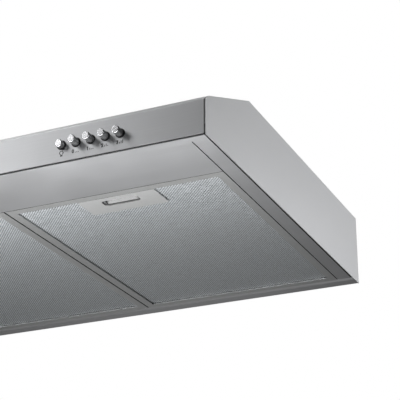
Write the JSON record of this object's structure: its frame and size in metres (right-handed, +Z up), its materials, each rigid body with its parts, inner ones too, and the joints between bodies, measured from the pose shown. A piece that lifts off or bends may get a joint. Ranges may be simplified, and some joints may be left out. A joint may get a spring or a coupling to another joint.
{
  "type": "under cabinet range hood",
  "caption": "Slim stainless under-cabinet range hood with push keys, lamp plate, hinged mesh grease filters with latches, blower and top duct spigot with damper flaps.",
  "frame": {"origin": "centre of the four cabinet screw holes, on the flat top's upper face", "axes": "+X to the right of someone facing the hood, +Y towards the wall behind it, +Z up; the push keys face -Y"},
  "size_m": [0.6, 0.5096, 0.133],
  "materials": {
    "brushed_stainless": "fine horizontal brushing",
    "zinc_steel": "zinc plated",
    "aluminium_mesh": "expanded mesh, mill finish",
    "aluminium_frame": "rolled, mill finish",
    "chromed_plastic": "bright plated",
    "black_plastic": "moulded",
    "grey_plastic": "moulded",
    "white_plastic": "moulded",
    "frosted_lens": "frosted",
    "circuit_board": "white solder mask",
    "ground_steel": "ground",
    "black_cable": "soft PVC"
  },
  "bodies": {
    "case": {"back_panel": "brushed_stainless", "base_frame": "brushed_stainless", "blower_posts": "zinc_steel", "cabinet_stiffeners": "zinc_steel", "cable_gland": "black_plastic", "canopy_top": "brushed_stainless", "capacitor_clip": "zinc_steel", "collar_screws": "zinc_steel", "duct_collar": "black_plastic", "flap_pins": "ground_steel", "front_panel": "brushed_stainless", "inlet_guard": "black_plastic", "junction_box": "white_plastic", "junction_box_cover": "white_plastic", "key_guides": "chromed_plastic", "key_springs": "ground_steel", "lamp_housing": "white_plastic", "lamp_lead": "black_cable", "lamp_lens": "frosted_lens", "led_board": "circuit_board", "motor_bearings": "ground_steel", "motor_housing": "zinc_steel", "motor_lead": "black_cable", "motor_screws": "zinc_steel", "outlet_elbow": "black_plastic", "post_screws": "zinc_steel", "rear_blanking_plate": "brushed_stainless", "rear_screws": "zinc_steel", "run_capacitor": "white_plastic", "scroll_floor": "black_plastic", "scroll_screws": "zinc_steel", "scroll_upper": "black_plastic", "scroll_wall": "black_plastic", "side_panel_left": "brushed_stainless", "side_panel_right": "brushed_stainless", "switch_bracket": "zinc_steel", "switch_housing": "black_plastic", "switch_lead": "black_cable", "terminal_block": "grey_plastic"},
    "key_lamp": {"key_lamp": "chromed_plastic"},
    "key_off": {"key_off": "chromed_plastic"},
    "key_speed_1": {"key_speed_1": "chromed_plastic"},
    "key_speed_2": {"key_speed_2": "chromed_plastic"},
    "key_speed_3": {"key_speed_3": "chromed_plastic"},
    "filter_left": {"filter_frame_left": "aluminium_frame", "filter_face_left": "aluminium_mesh", "filter_core_left": "aluminium_mesh", "latch_plate_left": "brushed_stainless", "latch_springs_left": "ground_steel"},
    "latch_left": {"latch_slide_left": "zinc_steel"},
    "filter_right": {"filter_frame_right": "aluminium_frame", "filter_face_right": "aluminium_mesh", "filter_core_right": "aluminium_mesh", "latch_plate_right": "brushed_stainless", "latch_springs_right": "ground_steel"},
    "latch_right": {"latch_slide_right": "zinc_steel"},
    "fan": {"impeller": "grey_plastic", "motor_shaft": "ground_steel"},
    "flap_front": {"damper_flap_front": "black_plastic"},
    "flap_rear": {"damper_flap_rear": "black_plastic"}
  },
  "joints": [
    {"name": "key_lamp_press", "type": "slide", "parent": "case", "child": "key_lamp", "axis": [0, 1, 0], "range_m": [-0.0045, 0], "deforming": ["key_springs"]},
    {"name": "key_off_press", "type": "slide", "parent": "case", "child": "key_off", "axis": [0, 1, 0], "range_m": [0, 0.0045], "stiffness_N_per_m": 600, "springref_m": -0.003, "deforming": ["key_springs"]},
    {"name": "key_speed_1_press", "type": "slide", "parent": "case", "child": "key_speed_1", "axis": [0, 1, 0], "range_m": [0, 0.0045], "stiffness_N_per_m": 600, "springref_m": -0.003, "deforming": ["key_springs"]},
    {"name": "key_speed_2_press", "type": "slide", "parent": "case", "child": "key_speed_2", "axis": [0, 1, 0], "range_m": [0, 0.0045], "stiffness_N_per_m": 600, "springref_m": -0.003, "deforming": ["key_springs"]},
    {"name": "key_speed_3_press", "type": "slide", "parent": "case", "child": "key_speed_3", "axis": [0, 1, 0], "range_m": [0, 0.0045], "stiffness_N_per_m": 600, "springref_m": -0.003, "deforming": ["key_springs"]},
    {"name": "filter_left_swing", "type": "hinge", "parent": "case", "child": "filter_left", "pos_m": [-0.1392, 0.1678, -0.0905], "axis": [1, 0, 0], "range_deg": [0, 80]},
    {"name": "latch_left_slide", "type": "slide", "parent": "filter_left", "child": "latch_left", "axis": [0, 1, 0], "range_m": [0, 0.005], "stiffness_N_per_m": 300, "springref_m": -0.004, "deforming": ["latch_springs_left"]},
    {"name": "filter_right_swing", "type": "hinge", "parent": "case", "child": "filter_right", "pos_m": [0.1392, 0.1678, -0.0905], "axis": [1, 0, 0], "range_deg": [0, 80]},
    {"name": "latch_right_slide", "type": "slide", "parent": "filter_right", "child": "latch_right", "axis": [0, 1, 0], "range_m": [0, 0.005], "stiffness_N_per_m": 300, "springref_m": -0.004, "deforming": ["latch_springs_right"]},
    {"name": "fan_spin", "type": "hinge", "parent": "case", "child": "fan", "pos_m": [-0.086, -0.0565, -0.048], "axis": [0, 0, 1], "continuous": true},
    {"name": "flap_front_lift", "type": "hinge", "parent": "case", "child": "flap_front", "pos_m": [0, 0.0953, 0.008], "axis": [-1, 0, 0], "range_deg": [0, 78]},
    {"name": "flap_rear_lift", "type": "hinge", "parent": "case", "child": "flap_rear", "pos_m": [0, 0.1017, 0.008], "axis": [1, 0, 0], "range_deg": [0, 78]}
  ]
}
